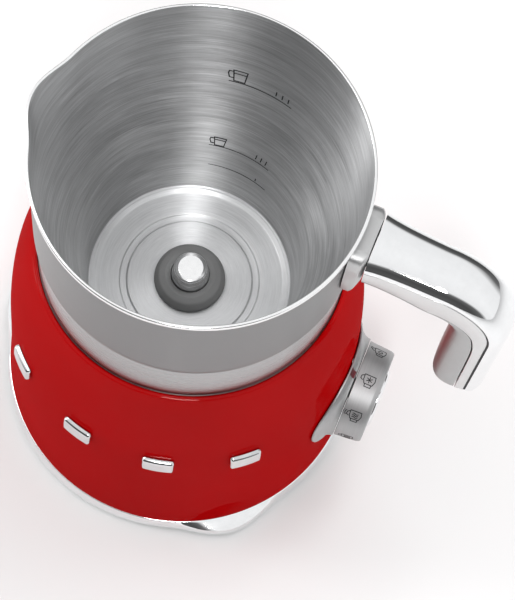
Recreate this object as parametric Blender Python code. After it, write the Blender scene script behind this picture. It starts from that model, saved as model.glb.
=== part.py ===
"""Induction milk frother: a turned base unit with a lift-out steel jug, a side knob with a push button,
a magnetic whisk drive, an induction coil, a fan and the boards.  Metres, +Z up, origin at the table plane
in the middle of the object's footprint box; the body's axis stands at x = BODY_X.  +X is the handle and
knob side, -X the spout, -Y the front with the four trim bars."""
import math
import bpy
import bmesh
from mathutils import Matrix, Vector

for ob in list(bpy.data.objects):
    bpy.data.objects.remove(ob)

MM = 0.001
# ---- driving dimensions, millimetres ------------------------------------------------------------
GAP = 0.3                 # clearance between pieces that touch
BODY_X = -17.2            # the body's axis, so that the footprint box is centred on the origin
RIM_Z, RIM_R = 195.0, 52.0  # jug mouth: height above the table and outer radius of its lip
JUG_WALL_R = 51.2         # outside of the jug's straight wall
JUG_EDGE_Z = 147.3        # where the wide part of the jug ends above the collar
JUG_STEP_Z, JUG_STEP_R = 121.9, 37.8   # inside step between the bowl and the narrow foot
JUG_FLOOR_Z = 92.4        # inside floor
JUG_BASE_Z = 91.2         # underside
SPOUT_OUT, SPOUT_HALF_DEG, SPOUT_DEEP = 3.2, 19.0, 46.0
COLLAR_R, COLLAR_TOP_Z = 50.2, 146.4
BODY_TOP_Z, SEAM_Z = 123.8, 8.1
BODY_STATIONS = ((SEAM_Z, 64.1), (30.9, 62.7), (54.1, 61.8), (77.2, 61.0), (100.4, 58.7), (117.5, 54.9), (122.4, 52.9))
SHELL_T = 2.4
RING_TOP_Z, RING_LOW_Z = 7.8, 1.8
FOOT_AZ, FOOT_R = (-52, 52, 180), 52.2
LOBE_OUT, LOBE_HALF_DEG = 4.2, 20.0
KNOB_Z = 49.4
BEZEL_R, BEZEL_FRONT_R, BEZEL_FRONT_X = 23.2, 18.6, 64.3
KNOB_R0, KNOB_R1, KNOB_X0, KNOB_X1 = 17.9, 17.2, 64.7, 74.4
BUTTON_TRAVEL = 1.4
BAR_Z, BAR_AZ = 77.0, (-133.5, -104.8, -77.0, -49.2)
BAR_HALF_H, BAR_HALF_W = 4.2, 5.4
HANDLE_X0, HANDLE_Z0 = 56.1, RIM_Z - 9.2     # start of the seam line under the chrome plate
HANDLE_ARC_X, HANDLE_ARC_R = 78.1, 21.5      # centre of the bend and radius of the seam line there
HANDLE_DROP_Z = RIM_Z - 71.8                 # where the free end starts to round off
HANDLE_W, HANDLE_ROOT_W = 8.8, 10.3          # half widths
HANDLE_PLATE_T, HANDLE_T = 4.3, 13.7
SEG = 36                                     # facets round the big turned pieces

MATS = {}


def material(name, rgb, rough, metal):
    if name not in MATS:
        m = bpy.data.materials.new(name)
        m.use_nodes = True
        b = m.node_tree.nodes["Principled BSDF"]
        b.inputs["Base Color"].default_value = (*rgb, 1)
        b.inputs["Roughness"].default_value = rough
        b.inputs["Metallic"].default_value = metal
        m.diffuse_color = (*rgb, 1)
        MATS[name] = m
    return MATS[name]


RED = material("red_paint", (0.42, 0.006, 0.008), 0.12, 0.0)
CHROME = material("chrome", (0.86, 0.86, 0.87), 0.06, 1.0)
STEEL = material("brushed_steel", (0.62, 0.62, 0.62), 0.32, 1.0)
SATIN = material("satin_metal", (0.56, 0.56, 0.57), 0.38, 1.0)
DARK = material("dark_rubber", (0.03, 0.03, 0.033), 0.6, 0.0)
BLACK = material("black_plastic", (0.02, 0.02, 0.022), 0.5, 0.0)
GREY = material("grey_plastic", (0.22, 0.22, 0.22), 0.5, 0.0)
COPPER = material("copper", (0.72, 0.32, 0.16), 0.35, 1.0)
FERRITE = material("ferrite", (0.07, 0.07, 0.075), 0.6, 0.2)
BOARD = material("board_green", (0.03, 0.16, 0.07), 0.45, 0.0)
ALU = material("aluminium", (0.66, 0.67, 0.69), 0.4, 1.0)
SPRING = material("spring_steel", (0.55, 0.55, 0.56), 0.3, 1.0)
MARK = material("indicator_red", (0.16, 0.008, 0.012), 0.3, 0.0)


ROOT = bpy.data.objects.new("body_axis", None)
ROOT.location = (BODY_X * MM, 0, 0)
bpy.context.collection.objects.link(ROOT)


def finish(name, bm, mat, loc=(0, 0, 0), rot=None, sharp=40.0, parent=None):
    """Weld, face outwards, shade and link one node."""
    bmesh.ops.remove_doubles(bm, verts=bm.verts, dist=2e-6)
    bmesh.ops.recalc_face_normals(bm, faces=bm.faces)
    if bm.calc_volume(signed=True) < 0:
        bmesh.ops.reverse_faces(bm, faces=bm.faces)
    me = bpy.data.meshes.new(name)
    bm.to_mesh(me)
    bm.free()
    me.materials.append(mat)
    me.shade_smooth()
    me.set_sharp_from_angle(angle=math.radians(sharp))
    ob = bpy.data.objects.new(name, me)
    bpy.context.collection.objects.link(ob)
    ob.location = [c * MM for c in loc]
    if rot:
        ob.rotation_euler = rot
    ob.parent = parent or ROOT
    return ob


def turn(bm, prof, seg, shift=(0, 0, 0), warp=None):
    """Turn a closed (radius, height) profile about local Z; a radius of 0 is a pole."""
    rings = []
    for r, z in prof:
        if r <= 1e-6:
            rings.append([bm.verts.new((shift[0] * MM, shift[1] * MM, (z + shift[2]) * MM))])
            continue
        ring = []
        for k in range(seg):
            a = 2 * math.pi * k / seg
            rr, zz = warp(r, z, a) if warp else (r, z)
            ring.append(bm.verts.new(((rr * math.cos(a) + shift[0]) * MM, (rr * math.sin(a) + shift[1]) * MM, (zz + shift[2]) * MM)))
        rings.append(ring)
    n = len(rings)
    for i in range(n):
        a, b = rings[i], rings[(i + 1) % n]
        if len(a) == 1 and len(b) == 1:
            continue
        for k in range(seg):
            j = (k + 1) % seg
            if len(a) == 1:
                bm.faces.new((a[0], b[k], b[j]))
            elif len(b) == 1:
                bm.faces.new((a[k], b[0], a[j]))
            else:
                bm.faces.new((a[k], b[k], b[j], a[j]))


def lathe(name, prof, mat, seg=SEG, loc=(0, 0, 0), rot=None, warp=None, sharp=40.0, parent=None):
    bm = bmesh.new()
    turn(bm, prof, seg, warp=warp)
    return finish(name, bm, mat, loc, rot, sharp, parent)


def lathes(name, prof, mat, places, seg=24, rot=None, parent=None):
    """Identical turned pieces, a node each, numbered from 1."""
    return [lathe(f"{name}_{k + 1}", prof, mat, seg=seg, loc=p, rot=rot, parent=parent) for k, p in enumerate(places)]


def block(bm, lo, hi, bevel=0.0):
    r = bmesh.ops.create_cube(bm, size=1.0)
    for v in r["verts"]:
        v.co = Vector([((lo[i] + hi[i]) / 2 + v.co[i] * (hi[i] - lo[i])) * MM for i in range(3)])
    if bevel:
        es = {e for v in r["verts"] for e in v.link_edges}
        bmesh.ops.bevel(bm, geom=list(es), offset=bevel * MM, segments=2, affect="EDGES", profile=0.5)


def box(name, lo, hi, mat, bevel=0.0, parent=None):
    bm = bmesh.new()
    block(bm, lo, hi, bevel)
    return finish(name, bm, mat, parent=parent)


def prism(bm, poly, z0, z1, twist=0.0):
    """Extrude a closed polygon (x, y) from z0 to z1, its top turned by twist radians."""
    lo = [bm.verts.new((x * MM, y * MM, z0 * MM)) for x, y in poly]
    c, s = math.cos(twist), math.sin(twist)
    hi = [bm.verts.new(((x * c - y * s) * MM, (x * s + y * c) * MM, z1 * MM)) for x, y in poly]
    bm.faces.new(lo[::-1])
    bm.faces.new(hi)
    n = len(poly)
    for i in range(n):
        j = (i + 1) % n
        bm.faces.new((lo[i], lo[j], hi[j], hi[i]))


def grid_solid(bm, front, back):
    """Close two matching grids of points (millimetres) into one body."""
    A = [[bm.verts.new([c * MM for c in p]) for p in row] for row in front]
    B = [[bm.verts.new([c * MM for c in p]) for p in row] for row in back]
    m, n = len(A), len(A[0])
    for i in range(m - 1):
        for j in range(n - 1):
            bm.faces.new((A[i][j], A[i][j + 1], A[i + 1][j + 1], A[i + 1][j]))
            bm.faces.new((B[i][j], B[i + 1][j], B[i + 1][j + 1], B[i][j + 1]))
    rim = [(0, j) for j in range(n)] + [(i, n - 1) for i in range(1, m)] + [(m - 1, j) for j in range(n - 2, -1, -1)] + [(i, 0) for i in range(m - 2, 0, -1)]
    for k in range(len(rim)):
        (a, b), (c, d) = rim[k], rim[(k + 1) % len(rim)]
        bm.faces.new((A[a][b], B[a][b], B[c][d], A[c][d]))


def coil(name, mean_r, wire_r, z0, z1, turns, mat, loc=(0, 0, 0), rot=None, around=9, sides=5):
    """Compression spring along local Z, its ends capped."""
    bm = bmesh.new()
    n = int(turns * around)
    rings = []
    for i in range(n + 1):
        t = i / n
        a = 2 * math.pi * turns * t
        z = z0 + wire_r + (z1 - z0 - 2 * wire_r) * t
        c, s = math.cos(a), math.sin(a)
        ring = []
        for k in range(sides):
            b = 2 * math.pi * k / sides
            r = mean_r + wire_r * math.cos(b)
            ring.append(bm.verts.new((r * c * MM, r * s * MM, (z + wire_r * math.sin(b)) * MM)))
        rings.append(ring)
    for a, b in zip(rings, rings[1:]):
        for k in range(sides):
            j = (k + 1) % sides
            bm.faces.new((a[k], a[j], b[j], b[k]))
    bm.faces.new(rings[0][::-1])
    bm.faces.new(rings[-1])
    return finish(name, bm, mat, loc, rot)


def cut(ob, cutter):
    cutter.hide_render = True
    cutter.display_type = "WIRE"
    m = ob.modifiers.new(cutter.name, "BOOLEAN")
    m.operation = "DIFFERENCE"
    m.solver = "EXACT"
    m.object = cutter


def join(ob, other):
    """Mould another shape into a piece."""
    other.hide_render = True
    other.display_type = "WIRE"
    m = ob.modifiers.new(other.name, "BOOLEAN")
    m.operation = "UNION"
    m.solver = "EXACT"
    m.object = other


def smooth_through(stations, t):
    """Cubic (Catmull-Rom) value through (position, value) stations, tangents from the neighbours."""
    n = len(stations)
    if t <= stations[0][0]:
        return stations[0][1]
    if t >= stations[-1][0]:
        return stations[-1][1]
    i = max(k for k in range(n - 1) if stations[k][0] <= t)
    (x0, y0), (x1, y1) = stations[i], stations[i + 1]
    def slope(k):
        a, b = stations[max(k - 1, 0)], stations[min(k + 1, n - 1)]
        return (b[1] - a[1]) / (b[0] - a[0])
    h = x1 - x0
    u = (t - x0) / h
    return ((2 * u**3 - 3 * u**2 + 1) * y0 + (u**3 - 2 * u**2 + u) * h * slope(i)
            + (3 * u**2 - 2 * u**3) * y1 + (u**3 - u**2) * h * slope(i + 1))


def body_r(z):
    return smooth_through(BODY_STATIONS, z)


# Local +Z turned to world +X, for everything on the knob's axis.
TO_X = (0.0, math.pi / 2, 0.0)


def holder(name, loc):
    e = bpy.data.objects.new(name, None)
    e.location = [c * MM for c in loc]
    bpy.context.collection.objects.link(e)
    e.parent = ROOT
    return e


# ================================================================================ jug
jug = holder("jug_frame", (0, 0, 0))


def spout(r, z, a):
    """Push the wall out towards -X near the mouth, fading below the lip."""
    d = abs(math.degrees(math.atan2(math.sin(a - math.pi), math.cos(a - math.pi))))
    if d >= SPOUT_HALF_DEG or z < RIM_Z - SPOUT_DEEP or r < 45:
        return r, z
    f = 0.5 * (1 + math.cos(math.pi * d / SPOUT_HALF_DEG))
    h = (z - (RIM_Z - SPOUT_DEEP)) / SPOUT_DEEP
    return r + SPOUT_OUT * f * h**2, z + 0.6 * f * max(0.0, h - 0.9) / 0.1


outer = [(51.6, RIM_Z), (RIM_R, RIM_Z - 0.6), (RIM_R, RIM_Z - 1.6), (JUG_WALL_R, RIM_Z - 2.6),
         (JUG_WALL_R, 184.0), (JUG_WALL_R, 170.0), (JUG_WALL_R, 150.6), (50.8, 148.4), (49.4, JUG_EDGE_Z), (48.9, 146.2),
         (47.0, 138.2), (44.0, 129.8), (38.9, 121.0), (38.5, 119.0), (35.6, 92.4),
         (33.8, JUG_BASE_Z), (0, JUG_BASE_Z)]
inner = [(0, JUG_FLOOR_Z), (21.2, JUG_FLOOR_Z), (21.6, JUG_FLOOR_Z - 0.4), (23.2, JUG_FLOOR_Z - 0.4), (23.6, JUG_FLOOR_Z),
         (33.5, JUG_FLOOR_Z), (34.9, 94.6), (JUG_STEP_R, JUG_STEP_Z),
         (43.2, 130.6), (46.2, 139.0), (48.2, 147.0), (49.9, 159.0), (50.4, 176.0),
         (50.6, RIM_Z - 2.4), (51.2, RIM_Z)]
lathe("jug_vessel", outer + inner, STEEL, warp=spout, sharp=30, parent=jug)

lathe("hub_collar", [(6.7, 92.7), (11.6, 92.7), (12.1, 93.4), (12.0, 94.6), (11.0, 96.4), (9.4, 97.6), (7.8, 98.0), (6.7, 97.7)], GREY, seg=24, parent=jug)
lathe("pin_sleeve", [(4.6, 92.7), (6.3, 92.7), (6.3, 98.6), (6.0, 99.6), (5.2, 100.0), (4.6, 100.0)], SATIN, seg=20, parent=jug)
lathe("pivot_pin", [(0, 92.8), (4.2, 92.8), (4.2, 100.3), (5.7, 100.3), (5.8, 101.6), (5.5, 102.9), (4.4, 104.0), (2.4, 104.6), (0, 104.8)], CHROME, seg=20, parent=jug)

# Handle: layers on one seam line, which runs out from the bracket, bends down and drops.
RUN = math.hypot(HANDLE_ARC_X - HANDLE_X0, (RIM_Z - 11.9) - HANDLE_Z0)
ARC = HANDLE_ARC_R * math.pi / 2
DROP = (RIM_Z - 11.9 - HANDLE_ARC_R) - HANDLE_DROP_Z
S_END = RUN + ARC + DROP


def seam_line(s):
    """Point, inward normal (towards the palm) at length s, in the XZ plane."""
    top_z = RIM_Z - 11.9
    if s <= RUN:
        t = s / RUN
        return HANDLE_X0 + (HANDLE_ARC_X - HANDLE_X0) * t, HANDLE_Z0 + (top_z - HANDLE_Z0) * t, (0.0, -1.0)
    s -= RUN
    cz = top_z - HANDLE_ARC_R
    if s <= ARC:
        a = math.pi / 2 - s / HANDLE_ARC_R
        return HANDLE_ARC_X + HANDLE_ARC_R * math.cos(a), cz + HANDLE_ARC_R * math.sin(a), (-math.cos(a), -math.sin(a))
    s -= ARC
    return HANDLE_ARC_X + HANDLE_ARC_R, cz - s, (-1.0, 0.0)


def half_w(s):
    return HANDLE_W + (HANDLE_ROOT_W - HANDLE_W) * math.exp(-s / 7.0)


def depth_all(s):
    return smooth_through(((0, 9.0), (12, 11.6), (RUN, HANDLE_T - 0.2), (RUN + ARC, HANDLE_T), (S_END + 20, HANDLE_T)), s)


def depth_band(s):
    return smooth_through(((0, 7.6), (12, 10.2), (RUN, 12.0), (RUN + 0.45 * ARC, 10.0), (RUN + ARC, 5.0), (RUN + ARC + 12, 4.2), (S_END + 20, 4.2)), s)


def layer(name, section, mat, stations=20, root=0.0):
    """Sweep section(s) -> list of (across, depth) along the seam line, with a rounded free end."""
    bm = bmesh.new()
    rings = []
    ts = [i / (stations - 1) for i in range(stations)]
    for i, t in enumerate(ts):
        ring = []
        for (w, d) in section(t * S_END):
            u = (d - 4.7) / 9.25
            v = w / HANDLE_W
            reach = S_END + 9.0 * math.sqrt(max(0.0, 1 - u * u)) * (1 - 0.22 * v * v)
            s = root + (reach - root) * t
            x, z, (nx, nz) = seam_line(s)
            ring.append(bm.verts.new(((x + nx * d) * MM, w * MM, (z + nz * d) * MM)))
        rings.append(ring)
    n = len(rings[0])
    for a, b in zip(rings, rings[1:]):
        for k in range(n):
            j = (k + 1) % n
            bm.faces.new((a[k], a[j], b[j], b[k]))
    bm.faces.new(rings[0][::-1])
    bm.faces.new(rings[-1])
    return finish(name, bm, mat, sharp=50, parent=jug)


def plate_section(s):
    w = half_w(s)
    T = HANDLE_PLATE_T
    crown = [(math.cos(a), math.sin(a)) for a in [math.pi * k / 8 for k in range(9)]]
    return [(w * c, -0.15 - (T - 0.15) * s_**0.62) for c, s_ in crown]


def strip_section(s):
    w = half_w(s) - 0.55
    return [(w, 0.2), (w, 1.25), (-w, 1.25), (-w, 0.2)]


def band_section(s):
    w, d = half_w(s), depth_band(s)
    return [(w - 0.25, 1.6), (w, 2.0), (w, d - 0.35), (w - 0.3, d - 0.05), (-(w - 0.3), d - 0.05), (-w, d - 0.35), (-w, 2.0), (-(w - 0.25), 1.6)]


def liner_section(s):
    w, d0, d1 = half_w(s) - 0.1, depth_band(s) + 0.3, depth_all(s)
    h = d1 - d0
    k = min(1.0, h / 6.0)
    return [(w - 0.2, d0), (w, d0 + 0.3 * h), (w - 0.9 * k, d0 + 0.62 * h), (w - 3.0 * k, d0 + 0.9 * h), (w - 6.0 * k, d1),
            (-(w - 6.0 * k), d1), (-(w - 3.0 * k), d0 + 0.9 * h), (-(w - 0.9 * k), d0 + 0.62 * h), (-w, d0 + 0.3 * h), (-(w - 0.2), d0)]


layer("handle_plate", plate_section, CHROME)
layer("handle_seam_strip", strip_section, DARK)
handle_band = layer("handle_band", band_section, SATIN)
layer("handle_liner", liner_section, SATIN)

# Bracket between the jug's wall and the handle, with a rounded pad below it.
rows, cols = [], 8
for z, w, x in ((RIM_Z - 37.5, 4.6, 53.0), (RIM_Z - 34.5, 7.9, 54.1), (RIM_Z - 24.0, 9.0, 54.6), (RIM_Z - 20.0, 10.2, 55.5),
                (RIM_Z - 18.6, 10.3, 55.8), (RIM_Z - 8.0, 10.3, 55.8), (RIM_Z - 5.6, 9.6, 55.8), (RIM_Z - 4.6, 7.4, 55.6)):
    rows.append([(z, w * (-1 + 2 * j / cols), x) for j in range(cols + 1)])
bm = bmesh.new()
BR = JUG_WALL_R + GAP + 0.1
grid_solid(bm, [[(x, y, z) for z, y, x in r] for r in rows], [[(math.sqrt(BR * BR - y * y), y, z) for z, y, x in r] for r in rows])
bracket = finish("handle_bracket", bm, SATIN, sharp=50, parent=jug)
SCREW_Y, SCREW_Z = 5.2, RIM_Z - 13.6
for k, y in enumerate((-SCREW_Y, SCREW_Y)):
    c = lathe(f"bracket_hole_{k}", [(0, -2), (2.1, -2), (2.1, 8), (0, 8)], DARK, seg=16, loc=(49.5, y, SCREW_Z), rot=TO_X)
    cut(bracket, c)
    c = lathe(f"band_hole_{k}", [(0, 0), (1.65, 0), (1.65, 9), (0, 9)], DARK, seg=16, loc=(54.5, y, SCREW_Z), rot=TO_X)
    cut(handle_band, c)
lathes("handle_screw", [(0, 0), (1.75, 0), (1.75, 0.9), (1.3, 1.0), (1.3, 9.6), (0, 9.6)], ALU, [(52.0, y, SCREW_Z) for y in (-SCREW_Y, SCREW_Y)], seg=10, rot=TO_X, parent=jug)

# ================================================================================ base unit
shell_out = [(50.6, BODY_TOP_Z - 0.5), (51.2, BODY_TOP_Z), (52.1, BODY_TOP_Z - 0.2)]
N = 11
shell_out += [(body_r(z), z) for z in [122.4 - (122.4 - SEAM_Z) * (k / (N - 1)) ** 0.86 for k in range(N)]]
shell_in = [(body_r(z) - SHELL_T, z) for z in (SEAM_Z, 36, 77, 100, 113)] + [(50.6, 119.6)]
shell = lathe("body_shell", shell_out + shell_in, RED, sharp=30)
knob_hole = lathe("knob_hole", [(0, 50), (6.0, 50), (6.0, 70), (0, 70)], RED, seg=24, loc=(0, 0, KNOB_Z), rot=TO_X)
cut(shell, knob_hole)
GLAND_Z = 17.0
TO_Y = (-math.pi / 2, 0.0, 0.0)
gland_hole = lathe("gland_hole", [(0, 50), (5.4, 50), (5.4, 70), (0, 70)], RED, seg=24, loc=(0, 0, GLAND_Z), rot=TO_Y)
cut(shell, gland_hole)

lathe("collar_ring", [(49.3, 120.2), (COLLAR_R, 120.2), (COLLAR_R, 145.4), (49.95, 146.1), (49.6, COLLAR_TOP_Z), (49.3, 145.9)], SATIN, sharp=30)
well_in = [(47.8, 139.4), (47.5, 138.2), (44.6, 129.6), (39.5, 120.6), (39.1, 119.0), (36.3, 92.4), (34.4, 90.7), (0, 90.7)]
well_out = [(0, 89.2), (35.4, 89.2), (37.6, 91.4), (40.8, 119.2), (46.2, 130.0), (48.9, 138.2), (48.9, 139.4)]
well = lathe("seat_well", well_in + well_out, BLACK, sharp=30)
PROBE_Y = 15.2
cut(well, lathe("probe_hole", [(0, 86), (2.6, 86), (2.6, 94), (0, 94)], BLACK, seg=16, loc=(0, PROBE_Y, 0)))


def lobes(r, z, a):
    if r < 63:
        return r, z
    f = 0.0
    for az in FOOT_AZ:
        d = abs(math.degrees(math.atan2(math.sin(a - math.radians(az)), math.cos(a - math.radians(az)))))
        if d < LOBE_HALF_DEG:
            f = max(f, 0.5 * (1 + math.cos(math.pi * d / LOBE_HALF_DEG)))
    return r + LOBE_OUT * f * min(1.0, (RING_TOP_Z - z) / 1.8), z


lathe("base_ring", [(60.6, RING_TOP_Z), (64.4, RING_TOP_Z), (64.9, 6.0), (65.3, 4.0), (65.3, 2.5), (64.7, RING_LOW_Z), (59.0, RING_LOW_Z), (59.0, 3.6), (60.6, 4.6)], CHROME, seg=48, warp=lobes, sharp=30)
plate = lathe("bottom_plate", [(0, 2.1), (58.6, 2.1), (58.6, 4.5), (0, 4.5)], BLACK)
POST_AZ = (60.0, 180.0, 300.0)
POST_R = 42.5
post_xy = [(POST_R * math.cos(math.radians(a)), POST_R * math.sin(math.radians(a)), 0) for a in POST_AZ]
for k, p in enumerate(post_xy):
    cut(plate, lathe(f"plate_hole_{k}", [(0, 0), (1.8, 0), (1.8, 8), (0, 8)], BLACK, seg=12, loc=p, rot=(0, 0, 0.13)))
for k in range(3):
    cut(plate, box(f"vent_{k}", (-20.3 + 10.3 * k - 2.1, -13.7, 0), (-20.3 + 10.3 * k + 2.1, 14.3, 8), BLACK))
lathes("rubber_foot", [(0, 0), (5.0, 0), (5.8, 0.5), (6.0, 1.8), (0, 1.8)], DARK, [(FOOT_R * math.cos(math.radians(a)), FOOT_R * math.sin(math.radians(a)), 0) for a in FOOT_AZ], seg=14)
lathes("housing_screw", [(0, 0.6), (2.9, 0.6), (2.9, 1.8), (1.3, 1.8), (1.3, 15), (0, 15)], ALU, post_xy, seg=10)

# Four plain trim bars that follow the body's curve, one node each.
for k, az in enumerate(BAR_AZ):
    bm = bmesh.new()
    front, back = [], []
    for i, dz in enumerate((-BAR_HALF_H, -BAR_HALF_H + 0.7, BAR_HALF_H - 0.7, BAR_HALF_H)):
        f, b = [], []
        for j in range(9):
            a = math.radians(az) + (-1 + 2 * j / 8) * BAR_HALF_W / 61.0
            edge = 0.45 if j in (0, 8) or i in (0, 3) else 0.0
            R = body_r(BAR_Z + dz)
            f.append(((R + 2.1 - edge) * math.cos(a), (R + 2.1 - edge) * math.sin(a), BAR_Z + dz))
            b.append(((R + 0.35) * math.cos(a), (R + 0.35) * math.sin(a), BAR_Z + dz))
        front.append(f)
        back.append(b)
    grid_solid(bm, front, back)
    finish(f"trim_bar_{k + 1}", bm, CHROME)

# ---- knob side ----
bm = bmesh.new()
T = 28
rings = []
for r, x in ((9.6, None), (14.0, None), (18.0, None), (BEZEL_R, None), (BEZEL_R, 0.9), (20.6, 0.35), (19.1, 0.7), (BEZEL_FRONT_R, BEZEL_FRONT_X - 0.3), (18.2, BEZEL_FRONT_X), (9.6, BEZEL_FRONT_X)):
    ring = []
    for k in range(T):
        a = 2 * math.pi * k / T
        def rear(rad):
            y, z = rad * math.sin(a), KNOB_Z + rad * math.cos(a)
            return math.sqrt(body_r(z) ** 2 - y * y) + 0.45
        if x is None:
            xx = rear(r)
        elif r == BEZEL_R:
            xx = rear(r) + x
        elif x < 1.0:
            xx = rear(BEZEL_R) + 0.9 + (BEZEL_FRONT_X - 0.3 - rear(BEZEL_R) - 0.9) * x
        else:
            xx = x
        ring.append(bm.verts.new((xx * MM, r * math.sin(a) * MM, (KNOB_Z + r * math.cos(a)) * MM)))
    rings.append(ring)
for i in range(len(rings)):
    a, b = rings[i], rings[(i + 1) % len(rings)]
    for k in range(T):
        j = (k + 1) % T
        bm.faces.new((a[k], b[k], b[j], a[j]))
bezel = finish("knob_bezel", bm, SATIN, sharp=35)
cut(bezel, box("mark_slot", (60.0, -1.5, KNOB_Z + 17.0), (66.0, 1.5, KNOB_Z + 24.0), SATIN))
bm = bmesh.new()
pts = ((61.9, 17.4), (BEZEL_FRONT_X, 17.4), (BEZEL_FRONT_X, 18.6), (63.4, 19.6), (62.9, 21.0), (62.5, 22.9), (61.9, 22.9))
A = [bm.verts.new((x * MM, -1.15 * MM, (KNOB_Z + z) * MM)) for x, z in pts]
B = [bm.verts.new((x * MM, 1.15 * MM, (KNOB_Z + z) * MM)) for x, z in pts]
bm.faces.new(A)
bm.faces.new(B[::-1])
for i in range(len(pts)):
    j = (i + 1) % len(pts)
    bm.faces.new((A[i], B[i], B[j], A[j]))
finish("indicator_mark", bm, MARK, sharp=20)

knob = holder("knob_frame", (0, 0, KNOB_Z))
on_axis = dict(loc=(0, 0, 0), rot=TO_X)
lathe("knob_cap", [(16.9, KNOB_X0), (KNOB_R0, KNOB_X0), (KNOB_R0, KNOB_X0 + 0.6), (KNOB_R1, KNOB_X1 - 1.4), (16.8, KNOB_X1 - 0.5), (15.9, KNOB_X1), (12.4, KNOB_X1 + 0.1), (11.4, KNOB_X1 - 0.5),
                   (11.4, 69.5), (2.4, 69.5), (2.4, 66.8), (16.4, 66.8)], SATIN, seg=28, parent=knob, **on_axis)
lathe("knob_shaft", [(2.3, 51.6), (4.0, 51.6), (4.0, 66.5), (2.3, 66.5)], ALU, seg=14, parent=knob, **on_axis)
button = holder("button_frame", (0, 0, KNOB_Z))
lathe("start_button", [(0, 52.3), (1.9, 52.3), (1.9, 73.6), (8.8, 73.6), (8.8, 71.1), (11.0, 71.1), (11.0, 74.6), (10.3, 75.3), (6.0, 75.6), (0, 75.7)], CHROME, seg=20, parent=button, **on_axis)
coil("button_spring", 5.0, 0.35, 69.8, 73.3, 2.5, SPRING, loc=(0, 0, KNOB_Z), rot=TO_X)
lathe("rotary_encoder", [(4.35, 50.6), (10.0, 50.6), (10.0, 57.2), (4.35, 57.2)], BLACK, seg=16, loc=(0, 0, KNOB_Z), rot=TO_X)
box("tact_switch", (48.4, -3.0, KNOB_Z - 3.0), (50.5, 3.0, KNOB_Z + 3.0), BLACK, bevel=0.3)
box("control_board", (46.5, -17.0, KNOB_Z - 19.0), (48.1, 17.0, KNOB_Z + 19.0), BOARD)

# ---- drive, coil and sensor under the well ----
frame = lathe("support_frame", [(3.0, 54.7), (45.9, 54.7), (45.9, 57.4), (3.0, 57.4)], BLACK)
for k, p in enumerate(post_xy):
    join(frame, lathe(f"frame_post_{k}", [(0, 4.8), (3.1, 4.8), (3.1, 56.0), (0, 56.0)], BLACK, seg=14, loc=p, rot=(0, 0, 0.11)))
    cut(frame, lathe(f"post_bore_{k}", [(0, 0), (1.65, 0), (1.65, 20), (0, 20)], BLACK, seg=12, loc=p, rot=(0, 0, 0.07)))
lathe("motor_can", [(4.6, 57.8), (11.5, 57.8), (11.5, 80.0), (4.6, 80.0), (4.6, 78.4), (10.2, 78.4), (10.2, 59.4), (4.6, 59.4)], ALU, seg=20)
lathe("lower_bearing", [(1.95, 58.0), (4.3, 58.0), (4.3, 61.6), (1.95, 61.6)], COPPER, seg=14)
lathe("upper_bearing", [(1.95, 76.4), (4.3, 76.4), (4.3, 79.8), (1.95, 79.8)], COPPER, seg=14)
lathe("stator_magnet", [(7.9, 62.5), (9.8, 62.5), (9.8, 75.5), (7.9, 75.5)], FERRITE, seg=20)
lathe("motor_shaft", [(0, 56.2), (1.6, 56.2), (1.6, 86.2), (0, 86.2)], SPRING, seg=12)
lathe("rotor_core", [(1.9, 63.0), (7.2, 63.0), (7.2, 75.0), (1.9, 75.0)], COPPER, seg=14)
lathe("magnet_carrier", [(0, 87.0), (0, 86.5), (1.9, 86.5), (1.9, 84.6), (11.5, 84.6), (11.5, 87.0)], BLACK, seg=20)
lathes("drive_magnet", [(0, 87.3), (2.8, 87.3), (2.8, 88.7), (0, 88.7)], FERRITE, [(x, 0, 0) for x in (-7.4, 7.4)], seg=16)
lathe("induction_coil", [(19.0, 84.9), (33.6, 84.9), (33.6, 88.4), (19.0, 88.4)], COPPER, seg=28)
carrier = lathe("coil_carrier", [(18.6, 82.4), (42.0, 82.4), (42.0, 84.5), (18.6, 84.5)], GREY, seg=28)
for k, a in enumerate(POST_AZ):
    join(carrier, lathe(f"coil_post_{k}", [(0, 57.7), (2.6, 57.7), (2.6, 83.4), (0, 83.4)], GREY, seg=12, loc=(38.6 * math.cos(math.radians(a)), 38.6 * math.sin(math.radians(a)), 0), rot=(0, 0, 0.11)))
lathe("ferrite_ring", [(20.0, 79.6), (34.0, 79.6), (34.0, 82.0), (20.0, 82.0)], FERRITE, seg=20)
lathe("probe_guide", [(1.35, 77.0), (3.1, 77.0), (3.1, 79.6), (1.35, 79.6)], GREY, seg=16, loc=(0, PROBE_Y, 0))
lathe("probe_tip", [(0, 75.4), (1.0, 75.4), (1.0, 86.2), (2.1, 86.2), (2.1, 90.4), (1.7, 90.9), (0, 90.9)], ALU, seg=16, loc=(0, PROBE_Y, 0))
coil("probe_spring", 1.75, 0.28, 79.9, 85.9, 4, SPRING, loc=(0, PROBE_Y, 0), around=8, sides=5)

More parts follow.
